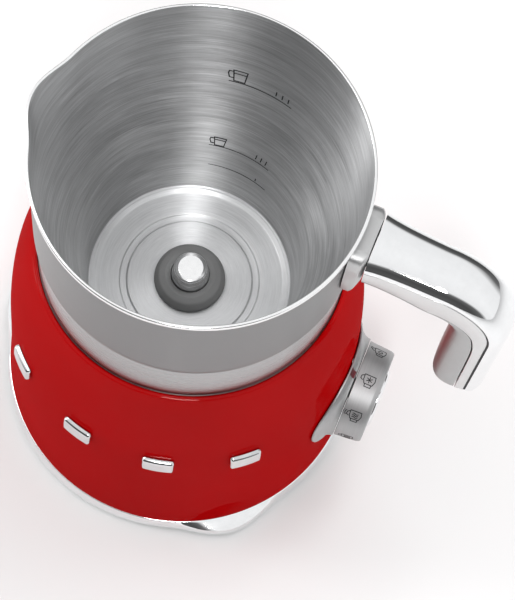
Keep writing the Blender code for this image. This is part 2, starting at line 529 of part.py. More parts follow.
# ---- power board, fan and lead entry ----
box("main_board", (-33.0, -26.0, 22.0), (33.0, 26.0, 23.6), BOARD)
bm = bmesh.new()
comb = [(-30, 24.0), (-6, 24.0)]
for k in range(6):
    x1 = -6 - k * 4.4
    comb += [(x1, 42.0), (x1 - 2.0, 42.0)]
    if k < 5:
        comb += [(x1 - 2.0, 27.0), (x1 - 4.4, 27.0)]
A = [bm.verts.new((x * MM, -22.0 * MM, z * MM)) for x, z in comb]
B = [bm.verts.new((x * MM, 2.0 * MM, z * MM)) for x, z in comb]
bm.faces.new(A)
bm.faces.new(B[::-1])
for i in range(len(comb)):
    j = (i + 1) % len(comb)
    bm.faces.new((A[i], B[i], B[j], A[j]))
finish("heat_sink", bm, ALU, sharp=20)
lathe("bulk_capacitor", [(0, 24.0), (6.8, 24.0), (6.8, 43.0), (6.2, 43.6), (0, 43.6)], BLACK, seg=12, loc=(12, 15, 0))
lathe("line_filter", [(4.0, 24.2), (9.0, 24.2), (9.6, 26.0), (9.6, 31.0), (9.0, 32.8), (4.0, 32.8)], COPPER, seg=12, loc=(20, -12, 0))
fan_frame = box("fan_frame", (-28.0, -20.0, 7.0), (12.0, 20.0, 17.0), BLACK)
cut(fan_frame, lathe("fan_bore", [(0, 0), (18.4, 0), (18.4, 30), (0, 30)], BLACK, seg=28, loc=(-8, 0, 0)))
join(fan_frame, box("fan_bridge", (-27.5, -2.7, 15.8), (11.5, 2.7, 18.6), BLACK))
join(fan_frame, lathe("fan_pin", [(0, 9.0), (1.0, 9.0), (1.0, 17.1), (0, 17.1)], BLACK, seg=12, loc=(-8, 0, 0), rot=(0, 0, 0.1)))
bm = bmesh.new()
blades, pts = 7, []
for k in range(blades):
    a0 = 2 * math.pi * k / blades
    pts += [(7.6 * math.cos(a0 - 0.30), 7.6 * math.sin(a0 - 0.30)), (7.6 * math.cos(a0 - 0.06), 7.6 * math.sin(a0 - 0.06)), (17.3 * math.cos(a0 + 0.10), 17.3 * math.sin(a0 + 0.10)),
            (17.3 * math.cos(a0 + 0.22), 17.3 * math.sin(a0 + 0.22)), (7.6 * math.cos(a0 + 0.10), 7.6 * math.sin(a0 + 0.10)), (7.6 * math.cos(a0 + 0.34), 7.6 * math.sin(a0 + 0.34))]
prism(bm, pts, 8.4, 15.2, twist=0.32)
bmesh.ops.translate(bm, verts=bm.verts, vec=(-8 * MM, 0, 0))
fan = finish("fan_rotor", bm, GREY, sharp=30)
cut(fan, lathe("fan_hub_bore", [(0, 5), (1.5, 5), (1.5, 20), (0, 20)], GREY, seg=12, loc=(-8, 0, 0)))
lathe("cord_gland", [(3.4, 56.0), (5.0, 56.0), (5.0, 64.4), (6.9, 64.45), (6.9, 65.0), (6.5, 65.3), (3.4, 65.3)], DARK, seg=14, loc=(0, 0, GLAND_Z), rot=TO_Y)
box("terminal_block", (-7.0, 44.0, 9.0), (7.0, 54.0, 21.0), GREY, bevel=0.5)
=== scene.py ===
import math
import bpy
import bmesh
from mathutils import Matrix, Vector


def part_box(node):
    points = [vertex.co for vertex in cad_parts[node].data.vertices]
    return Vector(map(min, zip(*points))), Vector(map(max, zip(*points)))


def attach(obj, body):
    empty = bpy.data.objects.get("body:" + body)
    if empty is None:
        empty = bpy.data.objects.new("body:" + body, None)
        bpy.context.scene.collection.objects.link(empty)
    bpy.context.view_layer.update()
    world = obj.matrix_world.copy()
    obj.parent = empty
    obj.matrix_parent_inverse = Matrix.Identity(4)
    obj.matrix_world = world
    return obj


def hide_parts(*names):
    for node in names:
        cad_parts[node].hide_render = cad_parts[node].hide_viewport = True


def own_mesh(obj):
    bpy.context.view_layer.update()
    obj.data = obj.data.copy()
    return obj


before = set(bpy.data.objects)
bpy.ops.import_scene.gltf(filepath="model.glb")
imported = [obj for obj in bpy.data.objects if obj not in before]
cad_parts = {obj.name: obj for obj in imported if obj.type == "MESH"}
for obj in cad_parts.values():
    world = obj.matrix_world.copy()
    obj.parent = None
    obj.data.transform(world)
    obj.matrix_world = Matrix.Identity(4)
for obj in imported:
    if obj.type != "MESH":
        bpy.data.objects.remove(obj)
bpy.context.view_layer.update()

MM = 0.001
# Body axis, read from the frame.
_lo, _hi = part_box("collar_ring")
BX = (_lo.x + _hi.x) / 2 / MM
RIM_Z, RIM_R = 195.0, 52.0
KNOB_Z = 49.4
BODY_STATIONS = ((8.1, 64.1), (30.9, 62.7), (54.1, 61.8), (77.2, 61.0), (100.4, 58.7), (117.5, 54.9), (122.4, 52.9))
SEG = 224


# ------------------------------------------------------------------------------------------ shapes
def smooth_through(stations, t):
    n = len(stations)
    if t <= stations[0][0]:
        return stations[0][1]
    if t >= stations[-1][0]:
        return stations[-1][1]
    i = max(k for k in range(n - 1) if stations[k][0] <= t)
    (x0, y0), (x1, y1) = stations[i], stations[i + 1]
    def slope(k):
        a, b = stations[max(k - 1, 0)], stations[min(k + 1, n - 1)]
        return (b[1] - a[1]) / (b[0] - a[0])
    h = x1 - x0
    u = (t - x0) / h
    return ((2 * u**3 - 3 * u**2 + 1) * y0 + (u**3 - 2 * u**2 + u) * h * slope(i)
            + (3 * u**2 - 2 * u**3) * y1 + (u**3 - u**2) * h * slope(i + 1))


def body_r(z):
    return smooth_through(BODY_STATIONS, z)


def rounded(points, steps=6):
    """Closed outline of (x, y) or (x, y, radius): corners turned into arcs."""
    out, n = [], len(points)
    for i in range(n):
        p = points[i]
        if len(p) == 2 or p[2] <= 0:
            out.append((p[0], p[1]))
            continue
        a, b = points[i - 1], points[(i + 1) % n]
        P, A, B = Vector(p[:2]), Vector(a[:2]), Vector(b[:2])
        u, v = (A - P).normalized(), (B - P).normalized()
        ang = math.acos(max(-1, min(1, u.dot(v))))
        if ang > math.pi - 0.02:
            out.append((p[0], p[1]))
            continue
        d = min(p[2] / math.tan(ang / 2), (A - P).length * 0.48, (B - P).length * 0.48)
        r = d * math.tan(ang / 2)
        C = P + (u + v).normalized() * (r / math.sin(ang / 2))
        s, e = P + u * d - C, P + v * d - C
        a0, a1 = math.atan2(s.y, s.x), math.atan2(e.y, e.x)
        da = (a1 - a0 + math.pi) % (2 * math.pi) - math.pi
        for k in range(steps + 1):
            t = a0 + da * k / steps
            out.append((C.x + r * math.cos(t), C.y + r * math.sin(t)))
    return out


def make(name, bm, mats, body, stand=(), sharp=35.0, at=None, rot=None):
    """One piece from a bmesh in millimetres about the body axis."""
    if rot is not None:
        bmesh.ops.transform(bm, matrix=rot, verts=bm.verts)
    off = Vector(at) if at else Vector((0, 0, 0))
    for v in bm.verts:
        v.co = (v.co + off + Vector((BX, 0, 0))) * MM
    bmesh.ops.remove_doubles(bm, verts=bm.verts, dist=1e-6)
    bmesh.ops.recalc_face_normals(bm, faces=bm.faces)
    me = bpy.data.meshes.new(name)
    bm.to_mesh(me)
    bm.free()
    for m in (mats if isinstance(mats, (list, tuple)) else [mats]):
        me.materials.append(m)
    me.shade_smooth()
    me.set_sharp_from_angle(angle=math.radians(sharp))
    ob = bpy.data.objects.new(name, me)
    bpy.context.scene.collection.objects.link(ob)
    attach(ob, body)
    if stand:
        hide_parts(*stand)
    return ob


def turned(prof, seg=SEG, warp=None):
    bm = bmesh.new()
    rings = []
    for r, z in prof:
        if r <= 1e-6:
            rings.append([bm.verts.new((0, 0, z))])
            continue
        ring = []
        for k in range(seg):
            a = 2 * math.pi * k / seg
            rr, zz = warp(r, z, a) if warp else (r, z)
            ring.append(bm.verts.new((rr * math.cos(a), rr * math.sin(a), zz)))
        rings.append(ring)
    n = len(rings)
    for i in range(n):
        a, b = rings[i], rings[(i + 1) % n]
        if len(a) == 1 and len(b) == 1:
            continue
        for k in range(seg):
            j = (k + 1) % seg
            if len(a) == 1:
                bm.faces.new((a[0], b[k], b[j]))
            elif len(b) == 1:
                bm.faces.new((a[k], b[0], a[j]))
            else:
                bm.faces.new((a[k], b[k], b[j], a[j]))
    return bm


TO_X = Matrix.Rotation(math.pi / 2, 4, "Y")
TO_Y = Matrix.Rotation(-math.pi / 2, 4, "X")


def grid_solid(front, back, bevel=0.0, segments=3):
    bm = bmesh.new()
    A = [[bm.verts.new(p) for p in row] for row in front]
    B = [[bm.verts.new(p) for p in row] for row in back]
    m, n = len(A), len(A[0])
    for i in range(m - 1):
        for j in range(n - 1):
            bm.faces.new((A[i][j], A[i][j + 1], A[i + 1][j + 1], A[i + 1][j]))
            bm.faces.new((B[i][j], B[i + 1][j], B[i + 1][j + 1], B[i][j + 1]))
    rim = [(0, j) for j in range(n)] + [(i, n - 1) for i in range(1, m)] + [(m - 1, j) for j in range(n - 2, -1, -1)] + [(i, 0) for i in range(m - 2, 0, -1)]
    for k in range(len(rim)):
        (a, b), (c, d) = rim[k], rim[(k + 1) % len(rim)]
        bm.faces.new((A[a][b], B[a][b], B[c][d], A[c][d]))
    return bm


def ribbon(bm, line, width, place, closed=False, step=0.5, proud=0.07, deep=0.1):
    """A thin printed line as a closed strip that follows a surface: place(u, v, lift) gives the point."""
    pts = [Vector(p) for p in line]
    if closed:
        pts.append(pts[0])
    fine = [pts[0]]
    for a, b in zip(pts, pts[1:]):
        k = max(1, int(math.ceil((b - a).length / step)))
        fine += [a + (b - a) * (i / k) for i in range(1, k + 1)]
    if closed:
        fine = fine[:-1]
    n = len(fine)
    rows = []
    for i, p in enumerate(fine):
        a = fine[i - 1] if (i or closed) else p
        b = fine[(i + 1) % n] if (i < n - 1 or closed) else p
        t0 = (p - a).normalized() if (p - a).length > 1e-9 else (b - p).normalized()
        t1 = (b - p).normalized() if (b - p).length > 1e-9 else t0
        t = (t0 + t1)
        t = t.normalized() if t.length > 1e-6 else t1
        nrm = Vector((-t.y, t.x))
        w = width / 2 / max(0.5, nrm.dot(Vector((-t1.y, t1.x))))
        l, r = p + nrm * w, p - nrm * w
        rows.append([bm.verts.new(place(l.x, l.y, proud)), bm.verts.new(place(r.x, r.y, proud)),
                     bm.verts.new(place(r.x, r.y, -deep)), bm.verts.new(place(l.x, l.y, -deep))])
    pairs = list(zip(rows, rows[1:])) + ([(rows[-1], rows[0])] if closed else [])
    for a, b in pairs:
        for k in range(4):
            j = (k + 1) % 4
            bm.faces.new((a[k], a[j], b[j], b[k]))
    if not closed:
        bm.faces.new(rows[0][::-1])
        bm.faces.new(rows[-1])


# --------------------------------------------------------------------------------------- materials
class Mat:
    def __init__(self, name, base, rough, metal=0.0, **kw):
        self.m = bpy.data.materials.new(name)
        self.m.use_nodes = True
        self.nt = self.m.node_tree
        self.b = self.nt.nodes["Principled BSDF"]
        self.b.inputs["Base Color"].default_value = (*base, 1)
        self.b.inputs["Roughness"].default_value = rough
        self.b.inputs["Metallic"].default_value = metal
        for k, v in kw.items():
            self.b.inputs[k.replace("_", " ")].default_value = v
        self.m.diffuse_color = (*base, 1)
        self._obj = None

    def node(self, kind, **kw):
        n = self.nt.nodes.new(kind)
        for k, v in kw.items():
            setattr(n, k, v)
        return n

    def link(self, a, b):
        self.nt.links.new(a, b)

    def obj(self):
        if self._obj is None:
            self._obj = self.node("ShaderNodeTexCoord").outputs["Object"]
        return self._obj

    def math(self, op, a, b=None):
        n = self.node("ShaderNodeMath", operation=op)
        for i, v in enumerate((a, b)):
            if v is None:
                continue
            if isinstance(v, (int, float)):
                n.inputs[i].default_value = v
            else:
                self.link(v, n.inputs[i])
        return n.outputs[0]

    def around(self, cx, cy, cz, axis, fine, coarse):
        """Coordinates for turning marks about an axis: fine across them, coarse along them."""
        sep = self.node("ShaderNodeSeparateXYZ")
        self.link(self.obj(), sep.inputs[0])
        c = [self.math("SUBTRACT", sep.outputs[i], v) for i, v in enumerate((cx, cy, cz))]
        u, v = [c[i] for i in range(3) if i != axis]
        h = c[axis]
        rad = self.math("SQRT", self.math("ADD", self.math("MULTIPLY", u, u), self.math("MULTIPLY", v, v)))
        safe = self.math("MAXIMUM", rad, 1e-5)
        comb = self.node("ShaderNodeCombineXYZ")
        self.link(self.math("MULTIPLY", self.math("DIVIDE", u, safe), coarse), comb.inputs[0])
        self.link(self.math("MULTIPLY", self.math("DIVIDE", v, safe), coarse), comb.inputs[1])
        self.link(self.math("MULTIPLY", self.math("ADD", rad, h), fine), comb.inputs[2])
        return comb.outputs[0]

    def scaled(self, s):
        mp = self.node("ShaderNodeMapping")
        mp.inputs["Scale"].default_value = s
        self.link(self.obj(), mp.inputs["Vector"])
        return mp.outputs[0]

    def noise(self, vec, scale=1.0, detail=3.0, rough=0.55, distortion=0.0):
        n = self.node("ShaderNodeTexNoise")
        n.inputs["Scale"].default_value = scale
        n.inputs["Detail"].default_value = detail
        n.inputs["Roughness"].default_value = rough
        n.inputs["Distortion"].default_value = distortion
        self.link(vec, n.inputs["Vector"])
        return n.outputs["Fac"]

    def rng(self, fac, lo, hi, a=0.3, b=0.7):
        n = self.node("ShaderNodeMapRange")
        n.inputs["From Min"].default_value = a
        n.inputs["From Max"].default_value = b
        n.inputs["To Min"].default_value = lo
        n.inputs["To Max"].default_value = hi
        self.link(fac, n.inputs["Value"])
        return n.outputs["Result"]

    def ramp(self, fac, stops):
        n = self.node("ShaderNodeValToRGB")
        e = n.color_ramp.elements
        while len(e) < len(stops):
            e.new(0.5)
        for el, (p, c) in zip(e, stops):
            el.position = p
            el.color = (*c, 1)
        self.link(fac, n.inputs[0])
        return n.outputs[0]

    def color(self, sock):
        self.link(sock, self.b.inputs["Base Color"])
        return self

    def rough(self, sock):
        self.link(sock, self.b.inputs["Roughness"])
        return self

    def bump(self, height, distance, strength=1.0, coat=False):
        n = self.node("ShaderNodeBump")
        n.inputs["Strength"].default_value = strength
        n.inputs["Distance"].default_value = distance
        self.link(height, n.inputs["Height"])
        self.link(n.outputs[0], self.b.inputs["Normal"])
        if coat:
            self.link(n.outputs[0], self.b.inputs["Coat Normal"])
        return self

    def tangent(self, axis):
        n = self.node("ShaderNodeTangent", direction_type="RADIAL", axis=axis)
        self.link(n.outputs[0], self.b.inputs["Tangent"])
        return self


AX = BX * MM


def grey(v, t=0.0):
    return (v, v * (1 + 0.004), v * (1 + 0.012 + t))


def turned_metal(name, lo, hi, r0, r1, axis="Z", centre=None, aniso=0.6, fine=3200.0, depth=0.00002, coarse=2.6):
    c = centre or (AX, 0, 0)
    M = Mat(name, grey((lo + hi) / 2), (r0 + r1) / 2, 1.0, Anisotropic=aniso, Anisotropic_Rotation=0.25)
    ai = "XYZ".index(axis)
    v = M.around(*c, ai, fine, coarse)
    v2 = M.around(*c, ai, fine * 0.11, coarse * 0.8)
    streak = M.noise(v, 1.0, 4.0, 0.65)
    broad = M.noise(v2, 1.0, 3.0, 0.6)
    cloud = M.noise(M.obj(), 34.0, 3.0)
    mixed = M.math("ADD", M.math("MULTIPLY", streak, 0.55), M.math("ADD", M.math("MULTIPLY", broad, 0.3), M.math("MULTIPLY", cloud, 0.15)))
    M.color(M.ramp(mixed, [(0.32, grey(lo)), (0.68, grey(hi))]))
    M.rough(M.rng(mixed, r0, r1, 0.34, 0.66))
    M.bump(streak, depth, 0.6)
    if axis == "Z" and centre is None:
        M.tangent("Z")
    return M.m


def plain_metal(name, lo, hi, r0, r1, scale=(260, 260, 260), depth=0.00001, tint=(1, 1, 1), wear=0.0):
    M = Mat(name, tuple((lo + hi) / 2 * t for t in tint), (r0 + r1) / 2, 1.0)
    n1 = M.noise(M.scaled(scale), 1.0, 4.0)
    n2 = M.noise(M.obj(), 45.0, 3.0)
    mixed = M.math("ADD", M.math("MULTIPLY", n1, 0.6), M.math("MULTIPLY", n2, 0.4))
    M.color(M.ramp(mixed, [(0.3, tuple(lo * t for t in tint)), (0.7, tuple(hi * t for t in tint))]))
    M.rough(M.rng(mixed, r0, r1))
    M.bump(n1, depth, 0.5)
    return M.m


def moulded(name, base, r0, r1, grain=900.0, depth=0.00006, vary=0.25, spec=0.4):
    M = Mat(name, base, (r0 + r1) / 2, 0.0, Specular_IOR_Level=spec)
    g = M.noise(M.obj(), grain, 3.0)
    c = M.noise(M.obj(), 40.0, 4.0)
    M.color(M.ramp(c, [(0.3, tuple(x * (1 - vary) for x in base)), (0.7, tuple(min(1, x * (1 + vary)) for x in base))]))
    M.rough(M.rng(g, r0, r1))
    M.bump(g, depth, 0.5)
    return M.m


def paint():
    M = Mat("red_gloss_paint", (0.6, 0.004, 0.006), 0.3, 0.0, Coat_Weight=0.036, Coat_Roughness=0.03, Coat_IOR=3.0, Specular_IOR_Level=0.0)
    c = M.noise(M.obj(), 22.0, 4.0)
    fine = M.noise(M.obj(), 1500.0, 2.0)
    M.color(M.ramp(c, [(0.3, (0.40, 0.0008, 0.0012)), (0.7, (0.44, 0.0012, 0.0020))]))
    M.rough(M.rng(fine, 0.24, 0.36))
    peel = M.noise(M.obj(), 420.0, 2.0)
    M.bump(peel, 0.000012, 0.35, coat=True)
    return M.m


def chrome(name="polished_chrome", lo=0.86, hi=0.90, r0=0.035, r1=0.085):
    M = Mat(name, grey((lo + hi) / 2), (r0 + r1) / 2, 1.0)
    n = M.noise(M.obj(), 300.0, 4.0)
    s = M.noise(M.scaled((900, 60, 60)), 1.0, 2.0)
    M.color(M.ramp(n, [(0.3, grey(lo)), (0.7, grey(hi))]))
    M.rough(M.rng(M.math("ADD", M.math("MULTIPLY", n, 0.5), M.math("MULTIPLY", s, 0.5)), r0, r1))
    M.bump(s, 0.000003, 0.3)
    return M.m


def windings(name, base, centre, axis, pitch):
    """Wound enamelled wire: fine ridges about an axis, with painted shade darkening the grooves between turns."""
    M = Mat(name, base, 0.35, 1.0)
    v = M.around(*centre, axis, 1.0, 0.0)
    w = M.node("ShaderNodeTexWave", wave_type="BANDS", bands_direction="Z")
    w.inputs["Scale"].default_value = 0.314 / pitch
    w.inputs["Distortion"].default_value = 0.6
    w.inputs["Detail"].default_value = 1.0
    M.link(v, w.inputs["Vector"])
    # Painted shade: the colour drops to about a third in the grooves between turns.
    M.color(M.ramp(w.outputs["Fac"], [(0.1, tuple(x * 0.35 for x in base)), (0.8, base)]))
    n = M.noise(M.obj(), 500.0)
    M.rough(M.rng(n, 0.28, 0.5))
    M.bump(w.outputs["Fac"], 0.0002, 0.8)
    return M.m


def circuit(name):
    M = Mat(name, (0.02, 0.14, 0.06), 0.4, 0.0, Coat_Weight=0.4, Coat_Roughness=0.2)
    br = M.node("ShaderNodeTexBrick")
    br.inputs["Scale"].default_value = 420.0
    br.inputs["Mortar Size"].default_value = 0.03
    br.inputs["Color1"].default_value = (0.02, 0.15, 0.06, 1)
    br.inputs["Color2"].default_value = (0.015, 0.11, 0.05, 1)
    br.inputs["Mortar"].default_value = (0.10, 0.30, 0.12, 1)
    M.link(M.obj(), br.inputs["Vector"])
    M.color(br.outputs["Color"])
    M.rough(M.rng(M.noise(M.obj(), 300.0), 0.3, 0.55))
    M.bump(br.outputs["Fac"], 0.00005, 0.5)
    return M.m


INSIDE = turned_metal("jug_brushed_inside", 0.33, 0.70, 0.40, 0.52, fine=2600.0, depth=0.00002, aniso=0.96)
# Painted light: the floor copy of the vessel steel is brightened well above the wall copy.
DISC_PAINTED_LIGHT = turned_metal("jug_brushed_floor_painted_light", 0.72, 0.94, 0.34, 0.46, fine=2600.0, depth=0.00002, aniso=0.8)
# Painted shade: the outside copy of the vessel steel is darkened well below the inside copy.
OUTSIDE_PAINTED_SHADE = turned_metal("jug_brushed_outside_painted_shade", 0.20, 0.26, 0.30, 0.40, fine=5200.0, depth=0.00001, aniso=0.4, coarse=1.4)
COLLAR = turned_metal("collar_satin", 0.38, 0.45, 0.24, 0.32, fine=4200.0, depth=0.000008, aniso=0.4, coarse=1.2)
KNOBMET = turned_metal("knob_satin", 0.42, 0.52, 0.46, 0.56, axis="X", centre=(0, 0, KNOB_Z * MM), fine=5200.0, depth=0.000008, aniso=0.0, coarse=1.6)
SATIN = plain_metal("handle_satin", 0.66, 0.78, 0.26, 0.36, scale=(60, 700, 60))
SATIN_DIM = plain_metal("bracket_satin", 0.54, 0.62, 0.42, 0.52, scale=(400, 60, 60))
LINERMET = plain_metal("liner_satin", 0.40, 0.50, 0.34, 0.44, scale=(60, 700, 60))
CHROME = chrome()
BARCHROME = chrome("trim_bar_chrome", 0.64, 0.72, 0.09, 0.15)
RED = paint()
RUBBER = moulded("foot_rubber", (0.03, 0.03, 0.032), 0.6, 0.85, grain=1400.0, depth=0.0001)
SEAMRUB = moulded("seam_rubber", (0.025, 0.025, 0.027), 0.5, 0.7, grain=1600.0)
BLACKP = moulded("black_moulding", (0.022, 0.022, 0.024), 0.42, 0.62, grain=800.0)
GREYP = moulded("hub_grey_moulding", (0.24, 0.24, 0.24), 0.45, 0.62, grain=1600.0, vary=0.12)
CARRIER = moulded("carrier_grey_moulding", (0.30, 0.30, 0.29), 0.45, 0.65)
COPPER = plain_metal("copper_winding_block", 0.62, 0.80, 0.28, 0.45, scale=(300, 300, 2200), depth=0.0001, tint=(1.0, 0.44, 0.22))
COILW = windings("coil_litz_wire", (0.74, 0.33, 0.15), (AX, 0, 0), 2, 0.0012)
FERRITE = moulded("ferrite_block", (0.06, 0.06, 0.065), 0.5, 0.75, grain=2400.0, depth=0.0001, vary=0.4)
BOARD = circuit("board_laminate")
ALU = plain_metal("cast_aluminium", 0.58, 0.72, 0.34, 0.5, scale=(500, 500, 500), depth=0.00003)
CANMET = plain_metal("motor_can_steel", 0.50, 0.66, 0.28, 0.42, scale=(40, 40, 900), depth=0.00001)
SPRING = plain_metal("spring_wire", 0.50, 0.62, 0.25, 0.38, scale=(900, 900, 900))
BRASS = plain_metal("sintered_bronze", 0.55, 0.72, 0.35, 0.5, scale=(1600, 1600, 1600), depth=0.00004, tint=(1.0, 0.72, 0.40))
MARK = moulded("indicator_inlay", (0.10, 0.008, 0.014), 0.3, 0.42, grain=1200.0, depth=0.00002)
INK = moulded("printed_ink", (0.012, 0.012, 0.013), 0.45, 0.6, grain=3000.0, depth=0.00001, vary=0.3)
LIP = plain_metal("polished_lip", 0.90, 0.97, 0.10, 0.18, scale=(500, 500, 60), depth=0.000003)
PIN = plain_metal("pin_polished", 0.86, 0.95, 0.09, 0.16, scale=(700, 700, 700), depth=0.000003)

# --------------------------------------------------------------------------------------------- jug
SPOUT_OUT, SPOUT_HALF, SPOUT_DEEP = 3.2, 19.0, 46.0


def spout(r, z, a):
    d = abs(math.degrees(math.atan2(math.sin(a - math.pi), math.cos(a - math.pi))))
    if d >= SPOUT_HALF or z < RIM_Z - SPOUT_DEEP or r < 45:
        return r, z
    f = 0.5 * (1 + math.cos(math.pi * d / SPOUT_HALF))
    h = (z - (RIM_Z - SPOUT_DEEP)) / SPOUT_DEEP
    return r + SPOUT_OUT * f * h**2, z + 0.6 * f * max(0.0, h - 0.9) / 0.1


def dense(points, step=2.5):
    """More points along long straight runs of an outline, so that the spout bends smoothly."""
    out = []
    n = len(points)
    for i in range(n):
        a, b = points[i], points[(i + 1) % n]
        out.append(a)
        if i == n - 1:
            continue
        L = math.hypot(b[0] - a[0], b[1] - a[1])
        k = int(L / step)
        for j in range(1, k + 1):
            t = j / (k + 1)
            out.append((a[0] + (b[0] - a[0]) * t, a[1] + (b[1] - a[1]) * t))
    return out


outer = [(0, 91.2), (33.8, 91.2, 1.4), (35.6, 93.4, 1.2), (38.5, 119.0, 3.0), (38.9, 121.0, 2.0), (44.0, 129.8, 6.0), (47.0, 138.2, 8.0), (48.9, 146.2, 3.0),
         (49.5, 147.3, 0.5), (50.7, 148.2, 1.1), (51.2, 150.6, 2.5), (51.2, 192.2, 0.5), (52.0, 193.2, 0.5), (52.0, 194.9, 0.7)]
inner = [(51.0, 195.0, 0.3), (50.7, 193.6, 1.0), (50.4, 176.0, 20.0), (49.9, 159.0, 25.0), (48.2, 147.0, 18.0), (46.2, 139.0, 10.0), (43.2, 130.6, 6.0), (37.8, 121.9, 2.2), (34.9, 95.2, 1.6),
         (34.2, 93.0, 0.8), (33.2, 93.1, 0.5), (31.8, 92.4, 1.2), (24.0, 92.45, 0.4), (23.5, 91.95, 0.4), (21.6, 91.95, 0.4), (21.1, 92.45, 0.4), (14.5, 92.5, 3.0), (0, 92.4)]
jug_bm = turned(dense(rounded(outer + inner)), warp=spout)
jug_bm.normal_update()
# Facing is settled before the materials are chosen, so that inside and outside walls part cleanly. The one vessel steel
# is split into copies by facing: the outside copy is darkened as painted shade and the floor copy is brightened as
# painted light.
bmesh.ops.recalc_face_normals(jug_bm, faces=jug_bm.faces)
for f in jug_bm.faces:
    c = f.calc_center_median()
    r = math.hypot(c.x, c.y)
    radial = (f.normal.x * c.x + f.normal.y * c.y)
    if c.z > 193.3 + (0.2 if c.x < -48 else 0) and (radial > 0 or f.normal.z > 0.35):
        f.material_index = 2
    elif f.normal.z > 0.3 and c.z < 93.6 and r < 34.6:
        f.material_index = 3
    elif radial < -1e-6 or (f.normal.z > 0.5 and c.z < 190):
        f.material_index = 0
    else:
        f.material_index = 1
make("jug_wall", jug_bm, [INSIDE, OUTSIDE_PAINTED_SHADE, LIP, DISC_PAINTED_LIGHT], "jug", ["jug_vessel"], sharp=60)

make("drive_hub", turned(rounded([(6.6, 92.7), (11.4, 92.7), (12.1, 93.2, 0.4), (12.0, 94.8, 1.2), (10.6, 97.0, 2.2), (8.4, 98.0, 0.9), (6.6, 97.8)]), 96), GREYP, "jug", ["hub_collar"])
make("drive_pin_sleeve", turned(rounded([(4.6, 92.7), (6.3, 92.7), (6.3, 99.0, 0.6), (5.4, 100.0, 0.5), (4.6, 100.0)]), 80), SATIN, "jug", ["pin_sleeve"])
make("drive_pin", turned(rounded([(0, 92.8), (4.2, 92.8), (4.2, 100.3), (5.5, 100.3, 0.2), (5.8, 101.4, 0.6), (5.5, 104.3, 0.9), (4.2, 104.75, 0.6), (0, 104.8)]), 80), PIN, "jug", ["pivot_pin"])

_jug_outline = rounded(outer + inner)
INNER_WALL = sorted({round(z, 4): r for r, z in _jug_outline[_jug_outline.index(max(_jug_outline, key=lambda q: q[1])):] if z > 93.4 and r > 30}.items())


def inner_r(z):
    for (z0, r0), (z1, r1) in zip(INNER_WALL, INNER_WALL[1:]):
        if z <= z1:
            return r0 + (r1 - r0) * (z - z0) / (z1 - z0)
    return INNER_WALL[-1][1]


def on_wall(az0, z0):
    """(u, v) on the wall: u to the right in degrees-length as seen from the front, v up the wall."""
    r0 = inner_r(z0)
    def place(u, v, lift):
        z, left = z0, v
        step = 0.25 if v >= 0 else -0.25
        while abs(left) > 1e-9:
            dz = step if abs(left) > abs(step) else left
            slope = (inner_r(z + 0.2) - inner_r(z - 0.2)) / 0.4
            z += dz / math.sqrt(1 + slope * slope)
            left -= dz
        r = inner_r(z) - lift
        a = math.radians(az0) - u / r0
        return (r * math.cos(a), r * math.sin(a), z)
    return place



def cup(bm, place, s, sv, w):
    """Small generic mug: bowl outline, a line for the milk and a loop handle."""
    P = lambda pts: [(x * s, y * sv) for x, y in pts]
    ribbon(bm, P([(-1.5, 3.5), (2.5, 3.5), (2.05, 0.35), (-1.1, 0.35)]), w, place, closed=True)
    ribbon(bm, P([(-1.25, 2.6), (2.2, 2.6)]), w * 0.8, place)
    ribbon(bm, P([(-1.6, 3.1), (-2.7, 3.1), (-2.9, 2.4), (-2.5, 1.2), (-1.4, 1.1)]), w, place)


bm = bmesh.new()
p = on_wall(96.6, 150.2)
cup(bm, p, 1.15, 1.85, 0.42)
p = on_wall(100.0, 150.2)
ribbon(bm, [(0, 0), (22.4, 0)], 0.34, p)
for k in range(3):
    ribbon(bm, [(16.2 + 2.3 * k, 1.2), (16.2 + 2.3 * k, 3.6)], 0.42, p)
p = on_wall(99.8, 121.6)
cup(bm, p, 0.98, 0.98, 0.36)
p = on_wall(104.3, 121.6)
ribbon(bm, [(0, 0), (22.0, 0)], 0.30, p)
for k in range(3):
    ribbon(bm, [(16.4 + 1.9 * k, 0.9), (16.4 + 1.9 * k, 2.6)], 0.36, p)
p = on_wall(103.5, 108.6)
ribbon(bm, [(0, 0), (21.6, 0)], 0.26, p)
ribbon(bm, [(17.2, 0.9), (17.2, 2.6)], 0.36, p)
make("level_marks", bm, INK, "jug")

# ------------------------------------------------------------------------------------------ handle
HX0, HZ0 = 56.1, RIM_Z - 9.2
HAX, HAR = 78.1, 21.5
HDROP = RIM_Z - 71.8
HW, HROOT = 8.8, 10.3
HPT, HT = 4.3, 13.7
RUN = math.hypot(HAX - HX0, (RIM_Z - 11.9) - HZ0)
ARC = HAR * math.pi / 2
DROP = (RIM_Z - 11.9 - HAR) - HDROP
S_END = RUN + ARC + DROP


def seam_line(s):
    top_z = RIM_Z - 11.9
    if s <= RUN:
        t = s / RUN
        return HX0 + (HAX - HX0) * t, HZ0 + (top_z - HZ0) * t, (0.0, -1.0)
    s -= RUN
    cz = top_z - HAR
    if s <= ARC:
        a = math.pi / 2 - s / HAR
        return HAX + HAR * math.cos(a), cz + HAR * math.sin(a), (-math.cos(a), -math.sin(a))
    s -= ARC
    return HAX + HAR, cz - s, (-1.0, 0.0)


def half_w(s):
    return HW + (HROOT - HW) * math.exp(-s / 7.0)


def depth_all(s):
    return smooth_through(((0, 9.0), (12, 11.6), (RUN, HT - 0.2), (RUN + ARC, HT), (S_END + 20, HT)), s)


def depth_band(s):
    return smooth_through(((0, 7.6), (12, 10.2), (RUN, 12.0), (RUN + 0.45 * ARC, 10.0), (RUN + ARC, 5.0), (RUN + ARC + 12, 4.2), (S_END + 20, 4.2)), s)


